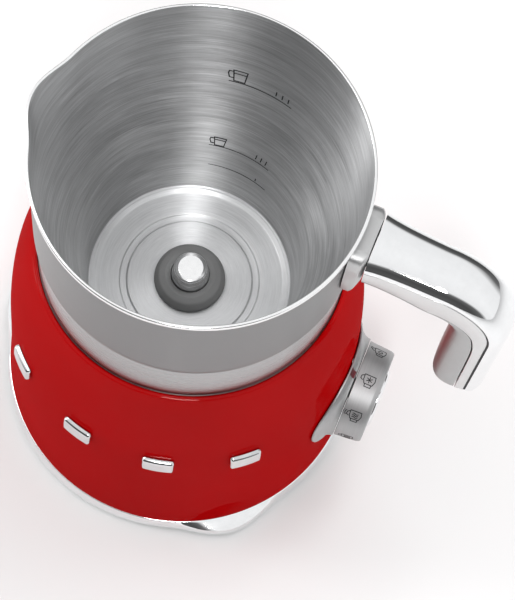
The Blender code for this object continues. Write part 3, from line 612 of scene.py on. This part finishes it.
def sweep(section, stations=110, fillet=0.45, end_rings=9):
    """Sweep a (across, depth) outline along the seam line, with a domed free end."""
    bm = bmesh.new()

    def at(w, d, s):
        x, z, (nx, nz) = seam_line(s)
        return bm.verts.new((x + nx * d, w, z + nz * d))

    def reach(w, d):
        u, v = (d - 4.7) / 9.25, w / HW
        return S_END + 9.0 * math.sqrt(max(0.0, 1 - u * u)) * (1 - 0.22 * min(1.0, v * v))

    rings = []
    for i in range(stations):
        t = i / (stations - 1)
        ring = []
        for w, d in section(t * S_END):
            ring.append(at(w, d, (reach(w, d) - fillet) * t))
        rings.append(ring)
    sec = section(S_END)
    cw = sum(p[0] for p in sec) / len(sec)
    cd = sum(p[1] for p in sec) / len(sec)
    size = max(max(abs(p[0] - cw) for p in sec), 1e-6)
    deep = max(max(abs(p[1] - cd) for p in sec), 1e-6)
    fl = min(fillet, deep * 0.5)
    for k in range(1, 5):
        th = k / 4 * math.pi / 2
        ring = []
        for w, d in sec:
            ww = cw + (w - cw) * (1 - fl * (1 - math.cos(th)) / size)
            dd = cd + (d - cd) * (1 - fl * (1 - math.cos(th)) / deep)
            ring.append(at(ww, dd, reach(w, d) - fillet + fillet * math.sin(th)))
        rings.append(ring)
    k0w, k0d = 1 - fl / size, 1 - fl / deep
    for k in range(1, end_rings):
        q = 1 - k / end_rings
        ring = []
        for w, d in sec:
            ww, dd = cw + (w - cw) * k0w * q, cd + (d - cd) * k0d * q
            e = reach(w, d) * q + reach(cw + (w - cw) * q, cd + (d - cd) * q) * (1 - q)
            ring.append(at(ww, dd, e))
        rings.append(ring)
    n = len(rings[0])
    for a, b in zip(rings, rings[1:]):
        for k in range(n):
            j = (k + 1) % n
            bm.faces.new((a[k], a[j], b[j], b[k]))
    bm.faces.new(rings[0][::-1])
    bm.faces.new(rings[-1])
    return bm


def plate_section(s):
    """Soft crown, tight shoulders, short upright sides."""
    w, T = half_w(s), HPT
    R = 6.0
    t0, t1 = math.radians(13), math.radians(58)
    x1 = w - R * (math.sin(t1) - math.sin(t0)) - 0.05
    k = math.tan(t0) / (2 * x1)
    right = [(x1 * j / 10, -(T - k * (x1 * j / 10) ** 2)) for j in range(11)]
    y1 = T - k * x1 * x1
    for j in range(1, 13):
        t = t0 + (t1 - t0) * j / 12
        right.append((x1 + R * (math.sin(t) - math.sin(t0)), -(y1 - R * (math.cos(t0) - math.cos(t)))))
    right.append((w, 0.45))
    left = [(-x, y) for x, y in right[1:]]
    base = [(-w + 2 * w * j / 12, 0.45) for j in range(1, 12)]
    return list(reversed(right)) + left + base


def strip_section(s):
    w = half_w(s) - 0.35
    return [(w, 0.46), (w, 1.14), (0, 1.14), (-w, 1.14), (-w, 0.46), (0, 0.46)]


def band_section(s):
    w, d = half_w(s), depth_band(s)
    return rounded([(w, 1.15, 0.3), (w, d - 0.05, 0.35), (0, d - 0.05), (-w, d - 0.05, 0.35), (-w, 1.15, 0.3), (0, 1.15)], 4)


def liner_section(s):
    w, d0, d1 = half_w(s) - 0.1, depth_band(s) + 0.3, depth_all(s)
    h = d1 - d0
    out = []
    for k in range(25):
        a = math.pi * k / 24
        out.append((w * math.copysign(abs(math.cos(a)) ** 0.5, math.cos(a)), d0 + 0.12 * h + 0.88 * h * math.sin(a) ** 0.75))
    out.append((-w + 0.15, d0))
    out.append((0, d0))
    out.append((w - 0.15, d0))
    return out


make("grip_plate", sweep(plate_section), CHROME, "jug", ["handle_plate"], sharp=50)
make("grip_seam", sweep(strip_section, fillet=0.2), SEAMRUB, "jug", ["handle_seam_strip"], sharp=40)
make("grip_band", sweep(band_section), SATIN, "jug", ["handle_band"], sharp=40)
make("grip_liner", sweep(liner_section), LINERMET, "jug", ["handle_liner"], sharp=50)

# Bracket against the jug's wall, a saddle with a rounded pad below.
rows, cols = [], 28
BR = 51.6
prof = [(RIM_Z - 37.5, 3.2, 52.7), (RIM_Z - 37.0, 5.0, 53.3), (RIM_Z - 36.0, 6.6, 53.8), (RIM_Z - 34.5, 7.9, 54.1), (RIM_Z - 32.0, 9.0, 54.4), (RIM_Z - 28.0, 9.8, 54.8), (RIM_Z - 24.0, 10.2, 55.3),
        (RIM_Z - 20.6, 10.3, 55.7), (RIM_Z - 13.0, 10.3, 55.8), (RIM_Z - 8.0, 10.3, 55.8), (RIM_Z - 6.2, 10.0, 55.8), (RIM_Z - 5.1, 9.1, 55.75), (RIM_Z - 4.6, 7.6, 55.6)]
front, back = [], []
for z, w, x in prof:
    f, b = [], []
    for j in range(cols + 1):
        v = -1 + 2 * j / cols
        y = w * v
        edge = 1.3 * max(0.0, (abs(v) - 0.74) / 0.26) ** 2
        wall = math.sqrt(BR * BR - y * y)
        f.append((max(x - edge, wall + 0.3), y, z))
        b.append((wall, y, z))
    front.append(f)
    back.append(b)
make("grip_bracket", grid_solid(front, back), SATIN_DIM, "jug", ["handle_bracket"], sharp=50)

# --------------------------------------------------------------------------------------- base unit
shell = [(50.6, 123.0), (50.7, 123.5, 0.2), (51.3, 123.8, 0.4), (52.2, 123.5, 0.5)]
N = 64
shell += [(body_r(z), z) for z in [122.4 - (122.4 - 8.3) * (k / (N - 1)) ** 0.9 for k in range(N)]]
shell += [(63.9, 8.1)]
shell += [(body_r(z) - 2.4, z) for z in (8.1, 20, 36, 56, 77, 90, 100, 113)] + [(50.6, 119.6)]
body = make("base_shell", turned(rounded(shell)), RED, "base", ["body_shell"], sharp=40)


def drill(ob, r, x0, x1, centre, rot):
    bm = turned([(0, x0), (r, x0), (r, x1), (0, x1)], 48)
    bmesh.ops.transform(bm, matrix=rot, verts=bm.verts)
    for v in bm.verts:
        v.co = (v.co + Vector(centre) + Vector((BX, 0, 0))) * MM
    bmesh.ops.recalc_face_normals(bm, faces=bm.faces)
    me = bpy.data.meshes.new("drill")
    bm.to_mesh(me)
    bm.free()
    c = bpy.data.objects.new("drill", me)
    bpy.context.scene.collection.objects.link(c)
    m = ob.modifiers.new("hole", "BOOLEAN")
    m.operation, m.solver, m.object = "DIFFERENCE", "EXACT", c
    dg = bpy.context.evaluated_depsgraph_get()
    new = bpy.data.meshes.new_from_object(ob.evaluated_get(dg))
    ob.modifiers.remove(m)
    ob.data = new
    bpy.data.objects.remove(c)
    new.shade_smooth()
    new.set_sharp_from_angle(angle=math.radians(40))


drill(body, 6.0, 50, 70, (0, 0, KNOB_Z), TO_X)
drill(body, 5.4, 50, 70, (0, 0, 17.0), TO_Y)

make("collar_band", turned(rounded([(49.3, 120.2), (50.2, 120.2), (50.2, 121.6), (50.5, 121.9), (50.5, 123.1, 0.15), (50.2, 123.3, 0.1), (50.2, 146.4, 0.35), (49.3, 146.4, 0.35)])), COLLAR, "base", ["collar_ring"])

FOOT_AZ = (-52.0, 52.0, 180.0)
LOBE_OUT, LOBE_HALF = 4.2, 20.0


def lobes(r, z, a):
    if r < 63:
        return r, z
    f = 0.0
    for az in FOOT_AZ:
        d = abs(math.degrees(math.atan2(math.sin(a - math.radians(az)), math.cos(a - math.radians(az)))))
        if d < LOBE_HALF:
            f = max(f, 0.5 * (1 + math.cos(math.pi * d / LOBE_HALF)))
    return r + LOBE_OUT * f * min(1.0, (7.8 - z) / 1.3), z


ring = rounded([(60.6, 7.8), (64.3, 7.8, 0.35), (64.9, 6.2, 1.5), (65.3, 4.2, 2.0), (65.3, 2.2, 0.9), (64.6, 1.8, 0.3), (59.0, 1.8), (59.0, 3.6), (60.6, 4.6)], 6)
make("foot_ring", turned(dense(ring, 0.8), 288, lobes), CHROME, "base", ["base_ring"])
for k, az in enumerate(FOOT_AZ):
    a = math.radians(az)
    make(f"foot_pad_{k + 1}", turned(rounded([(0, 0.0), (2.2, 0.0), (2.5, 0.3), (2.8, 0.0), (5.0, 0.0, 0.2), (5.8, 0.5, 0.4), (6.0, 1.8), (0, 1.8)]), 64), RUBBER, "base", [f"rubber_foot_{k + 1}"], at=(52.2 * math.cos(a), 52.2 * math.sin(a), 0))

# Four plain trim bars along the front.
for k, az in enumerate((-133.5, -104.8, -77.0, -49.2)):
    front, back = [], []
    R0, m, n, hh, hw, rc = 61.0, 24, 40, 4.2, 5.4, 1.1
    for i in range(m + 1):
        f, b = [], []
        q = -1 + 2 * i / m
        for j in range(n + 1):
            t = -1 + 2 * j / n
            # A rounded oblong: the corners pull in, the rim rounds off and the face is softly pillowed.
            cx = max(0.0, abs(t) * hw - (hw - rc)) / rc
            half = hh - rc * (1 - math.sqrt(max(0.0, 1 - cx * cx)))
            dz = q * half
            s = t * hw
            e = max(0.0, min(hw - abs(s), half - abs(dz)))
            lift = 2.1 - 0.8 * (1 - min(1.0, e / 0.8)) ** 2 - 0.12 * (q * q + t * t)
            R = body_r(77.0 + dz)
            a = math.radians(az) + s / R0
            f.append(((R + lift) * math.cos(a), (R + lift) * math.sin(a), 77.0 + dz))
            b.append(((R + 0.3) * math.cos(a), (R + 0.3) * math.sin(a), 77.0 + dz))
        front.append(f)
        back.append(b)
    make(f"front_bar_{k + 1}", grid_solid(front, back), BARCHROME, "base", [f"trim_bar_{k + 1}"], sharp=50)

# -------------------------------------------------------------------------------------------- knob
T = 144
bm = bmesh.new()


def rear(rad, a):
    y, z = rad * math.sin(a), KNOB_Z + rad * math.cos(a)
    return math.sqrt(body_r(z) ** 2 - y * y) + 0.4


rings = []
stops = [(9.6, "rear", 0), (15.0, "rear", 0), (22.9, "rear", 0), (23.2, "rear", 0.25), (23.2, "rear", 0.7)]
for r, kind, lift in stops:
    rings.append([bm.verts.new((rear(r, 2 * math.pi * k / T) + lift, r * math.sin(2 * math.pi * k / T), KNOB_Z + r * math.cos(2 * math.pi * k / T))) for k in range(T)])
for i in range(1, 13):
    t = i / 12
    r = 18.6 + 4.6 * (1 - t) ** 2.2
    ring = []
    for k in range(T):
        a = 2 * math.pi * k / T
        x0 = rear(23.2, a) + 0.7
        ring.append(bm.verts.new((x0 + (64.15 - x0) * t, r * math.sin(a), KNOB_Z + r * math.cos(a))))
    rings.append(ring)
for r, x in ((18.5, 64.27), (18.3, 64.3), (17.2, 64.3), (9.6, 64.3)):
    rings.append([bm.verts.new((x, r * math.sin(2 * math.pi * k / T), KNOB_Z + r * math.cos(2 * math.pi * k / T))) for k in range(T)])
bezel_faces = []
for i in range(len(rings)):
    a, b = rings[i], rings[(i + 1) % len(rings)]
    for k in range(T):
        j = (k + 1) % T
        f = bm.faces.new((a[k], b[k], b[j], a[j]))
        f.material_index = 1 if i >= len(rings) - 4 else 0
make("knob_surround", bm, [KNOBMET, BLACKP], "base", ["knob_bezel"], sharp=40)

# Indicator inlay over the top of the surround.
line = []
for i in range(0, 13):
    t = i / 12
    x0 = rear(23.2, 0.0) + 0.7
    line.append((x0 + (64.15 - x0) * t + (0.06 if i == 0 else 0), 18.6 + 4.6 * (1 - t) ** 2.2))
ph = math.radians(-4.5)


def tilt(x, y, z):
    return (x, y * math.cos(ph) + z * math.sin(ph), KNOB_Z + z * math.cos(ph) - y * math.sin(ph))


front = [[tilt(x, y, z + 0.14 - (0.14 if abs(y) > 1.1 else 0)) for y in (-1.35, -1.15, 0, 1.15, 1.35)] for x, z in line]
back = [[tilt(x, y, z - 0.5) for y in (-1.35, -1.15, 0, 1.15, 1.35)] for x, z in line]
make("indicator_inlay", grid_solid(front, back), MARK, "base", ["indicator_mark"])

cap = rounded([(2.4, 66.8), (16.4, 66.8), (16.9, 64.7), (17.9, 64.7, 0.25), (17.75, 66.5, 0.8), (17.25, 72.8, 1.0), (16.7, 74.3, 0.9), (12.5, 74.4, 0.4), (11.4, 73.9, 0.4), (11.4, 69.5), (2.4, 69.5)])
make("knob_cap_turned", turned(dense(cap, 1.0), 160), KNOBMET, "knob", ["knob_cap"], at=(0, 0, KNOB_Z), rot=TO_X)
make("knob_push", turned(rounded([(0, 52.3), (1.9, 52.3), (1.9, 73.6), (8.8, 73.6), (8.8, 71.1), (11.0, 71.1), (11.0, 74.8, 0.5), (9.6, 75.5, 1.0), (6.4, 75.2, 1.5), (0, 75.0)]), 128), CHROME, "button", ["start_button"], at=(0, 0, KNOB_Z), rot=TO_X)


def on_cap(phi0, x0):
    def place(u, v, lift):
        x = x0 + u
        r = 17.82 + (17.25 - 17.82) * max(0.0, min(1.0, (x - 65.6) / 7.2)) + lift
        a = math.radians(phi0) + v / 17.5
        return (x, r * math.sin(a), KNOB_Z + r * math.cos(a))
    return place


def wave(y, x0=-1.0, x1=1.2, n=9):
    return [(x0 + (x1 - x0) * k / n, y + 0.22 * math.sin(2.2 * math.pi * k / n)) for k in range(n + 1)]


def arc(cx, cy, r, a0, a1, n=10):
    return [(cx + r * math.cos(math.radians(a0 + (a1 - a0) * k / n)), cy + r * math.sin(math.radians(a0 + (a1 - a0) * k / n))) for k in range(n + 1)]


# Plain generic drink pictograms, eight round the cap.
bm = bmesh.new()
w = 0.30
for k in range(8):
    p = on_cap(45 * k - 4.5, 69.2)
    body_line = [(-1.9, 2.1), (2.1, 2.1), (2.3, 0.4), (1.7, -1.2), (-1.3, -1.2), (-1.9, 0.2)]
    ribbon(bm, body_line, w, p, closed=True, proud=0.05)
    ribbon(bm, [(-1.0, -1.3), (-0.9, -2.2), (1.3, -2.2), (1.4, -1.3)], w, p, proud=0.05)
    ribbon(bm, [(-2.0, 1.7), (-2.9, 1.2), (-3.0, 0.2), (-2.1, -0.3)], w, p, proud=0.05)
    if k % 4 == 0:
        for q in range(3):
            c, s = math.cos(math.radians(30 + 60 * q)), math.sin(math.radians(30 + 60 * q))
            ribbon(bm, [(0.2 - 1.15 * c, 0.5 - 1.15 * s), (0.2 + 1.15 * c, 0.5 + 1.15 * s)], w, p, proud=0.05)
    elif k % 4 == 1:
        ribbon(bm, arc(0.2, 0.4, 0.75, 0, 340), w, p, closed=True, proud=0.05)
        ribbon(bm, arc(-2.6, 1.2, 0.9, 120, 220, 5), w, p, proud=0.05)
    elif k % 4 == 2:
        for y in (-0.3, 0.5, 1.3):
            ribbon(bm, [(-1.0, y), (1.3, y)], w, p, proud=0.05)
    else:
        for y in (-0.35, 0.35, 1.05):
            ribbon(bm, wave(y), w, p, proud=0.05)
        ribbon(bm, arc(-2.4, 0.7, 1.3, 130, 225, 6), w, p, proud=0.05)
        ribbon(bm, arc(-2.9, 0.7, 1.5, 135, 220, 6), w, p, proud=0.05)
make("knob_pictograms", bm, INK, "knob")

# ------------------------------------------------------------------------- back, underside details
for name, material in (
        ("seat_well", BLACKP), ("bottom_plate", BLACKP), ("cord_gland", SEAMRUB), ("handle_screw_1", ALU), ("handle_screw_2", ALU),
        ("housing_screw_1", ALU), ("housing_screw_2", ALU), ("housing_screw_3", ALU), ("rotary_encoder", BLACKP), ("tact_switch", BLACKP),
        ("control_board", BOARD), ("support_frame", BLACKP), ("motor_can", CANMET), ("lower_bearing", BRASS), ("upper_bearing", BRASS),
        ("stator_magnet", FERRITE), ("induction_coil", COILW), ("coil_carrier", CARRIER), ("ferrite_ring", FERRITE), ("probe_guide", BLACKP),
        ("main_board", BOARD), ("heat_sink", ALU), ("bulk_capacitor", CANMET), ("line_filter", COPPER), ("fan_frame", BLACKP),
        ("terminal_block", CARRIER), ("knob_shaft", ALU), ("probe_tip", PIN),
        ("motor_shaft", SPRING), ("rotor_core", COPPER), ("magnet_carrier", BLACKP), ("drive_magnet_1", FERRITE), ("drive_magnet_2", FERRITE), ("fan_rotor", BLACKP)):
    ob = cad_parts[name]
    ob.data.materials.clear()
    ob.data.materials.append(material)



def wound(R, wire, z0, z1, turns, per=40, sides=10):
    """A helix of round wire along Z with flat-cut ends."""
    bm = bmesh.new()
    n = int(turns * per)
    rings = []
    for i in range(n + 1):
        a = 2 * math.pi * turns * i / n
        z = z0 + wire + (z1 - z0 - 2 * wire) * i / n
        rings.append([bm.verts.new(((R + wire * math.cos(t)) * math.cos(a), (R + wire * math.cos(t)) * math.sin(a), z + wire * math.sin(t)))
                      for t in (2 * math.pi * k / sides for k in range(sides))])
    for a, b in zip(rings, rings[1:]):
        for k in range(sides):
            j = (k + 1) % sides
            bm.faces.new((a[k], a[j], b[j], b[k]))
    bm.faces.new(rings[0][::-1])
    bm.faces.new(rings[-1])
    return bm


# The two return springs, each with a mesh of its own.
coil = make("button_return_spring", wound(5.0, 0.34, 69.84, 73.26, 2.5), SPRING, "base", ["button_spring"], at=(0, 0, KNOB_Z), rot=TO_X)
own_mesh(coil)
coil = make("probe_return_spring", wound(1.75, 0.27, 79.93, 85.87, 4.0), SPRING, "base", ["probe_spring"], at=(0, 15.2, 0))
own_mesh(coil)

# ------------------------------------------------------------------------------- stage and lights
floor = bpy.data.meshes.new("studio_floor")
fb = bmesh.new()
bmesh.ops.create_grid(fb, x_segments=2, y_segments=2, size=3.0)
fb.to_mesh(floor)
fb.free()
FM = Mat("studio_paper", (0.80, 0.80, 0.80), 0.9, 0.0, Specular_IOR_Level=0.1)
fn = FM.noise(FM.obj(), 6.0, 3.0)
FM.color(FM.ramp(fn, [(0.3, (0.785, 0.785, 0.785)), (0.7, (0.795, 0.795, 0.795))]))
floor.materials.append(FM.m)
fo = bpy.data.objects.new("studio_floor", floor)
bpy.context.scene.collection.objects.link(fo)
fo.location = (0, 0, -0.0002)

world = bpy.data.worlds.new("studio")
bpy.context.scene.world = world
world.use_nodes = True
wn = world.node_tree
bg = wn.nodes["Background"]
wc = wn.nodes.new("ShaderNodeTexCoord")
wr = wn.nodes.new("ShaderNodeValToRGB")
wn.links.new(wr.outputs[0], bg.inputs[0])
# A long soft white ceiling that runs along X over a dim room and leans a little to the back.
lean = math.radians(10)


def wmath(op, p, q=None):
    n = wn.nodes.new("ShaderNodeMath")
    n.operation = op
    for i, v in enumerate((p, q)):
        if v is None:
            continue
        if isinstance(v, (int, float)):
            n.inputs[i].default_value = v
        else:
            wn.links.new(v, n.inputs[i])
    return n.outputs[0]


def wdot(vec):
    n = wn.nodes.new("ShaderNodeVectorMath")
    n.operation = "DOT_PRODUCT"
    n.inputs[1].default_value = vec
    wn.links.new(wc.outputs["Generated"], n.inputs[0])
    return n.outputs["Value"]


across = wdot((0.0, math.cos(lean), -math.sin(lean)))
upward = wdot((0.0, math.sin(lean), math.cos(lean)))
side = wdot((0.6, 0.0, 0.0))
height = wmath("SQRT", wmath("ADD", wmath("MULTIPLY", upward, upward), wmath("MULTIPLY", side, side)))
angle = wmath("DIVIDE", wmath("ABSOLUTE", wmath("ARCTAN2", across, height)), math.pi)
wn.links.new(angle, wr.inputs[0])
SKY = [(0.0, 1.0), (0.21, 0.92), (0.27, 0.14), (0.36, 0.07), (0.5, 0.10)]
while len(wr.color_ramp.elements) < len(SKY):
    wr.color_ramp.elements.new(0.5)
for el, (pos, v) in zip(wr.color_ramp.elements, SKY):
    el.position = pos
    el.color = (v, v * 1.005, v * 1.01, 1)
bg.inputs[1].default_value = 1.0


def softbox(name, loc, target, size, power, sy=None, color=(1, 1, 1)):
    L = bpy.data.lights.new(name, "AREA")
    L.shape = "RECTANGLE"
    L.size, L.size_y = size, sy or size
    L.energy = power
    L.color = color
    o = bpy.data.objects.new(name, L)
    bpy.context.scene.collection.objects.link(o)
    o.location = loc
    o.rotation_mode = "QUATERNION"
    o.rotation_quaternion = (Vector(target) - Vector(loc)).to_track_quat("-Z", "Y")
    return o


softbox("overhead", (0.20, 0.46, 1.20), (0, 0, 0.1), 0.5, 6.0, 0.5).visible_glossy = False
softbox("left_box", (-1.0, -0.20, 0.62), (0, 0, 0.12), 0.25, 3.0, 0.8)
softbox("left_high", (-0.62, 0.02, 1.25), (0, 0, 0.12), 0.35, 1.3, 0.5)
softbox("front_key", (0.20, -0.66, 1.28), (0, 0, 0.15), 0.24, 5.5, 0.36)

# ------------------------------------------------------------------------------------------ camera
D, ELEV, ROLL, YAW, F_PX, HZ = 14.0 * RIM_R, 1.22896, 0.110096, 0.0331689, 2104.4957, -2.223747
C = Vector((0, -math.cos(ELEV) * D, RIM_Z + HZ * RIM_R + math.sin(ELEV) * D))
fw, rt, up = Vector((0, math.cos(ELEV), -math.sin(ELEV))), Vector((1, 0, 0)), Vector((0, math.sin(ELEV), math.cos(ELEV)))
fw2 = fw * math.cos(YAW) + rt * math.sin(YAW)
rt2 = rt * math.cos(YAW) - fw * math.sin(YAW)
r3 = rt2 * math.cos(ROLL) + up * math.sin(ROLL)
u3 = -rt2 * math.sin(ROLL) + up * math.cos(ROLL)
R = Matrix((r3, u3, -fw2)).transposed()
turn = Matrix.Rotation(math.radians(16.5), 3, "Z")
cam = bpy.data.cameras.new("camera")
cam.sensor_width = 36.0
cam.lens = F_PX * 36.0 / 600.0
cam.clip_start, cam.clip_end = 0.01, 20.0
co = bpy.data.objects.new("camera", cam)
bpy.context.scene.collection.objects.link(co)
P = turn @ C
co.matrix_world = Matrix.Translation((P + Vector((BX, 0, 0))) * MM) @ (turn @ R).to_4x4()
bpy.context.scene.camera = co
bpy.context.scene.view_settings.view_transform = "Standard"
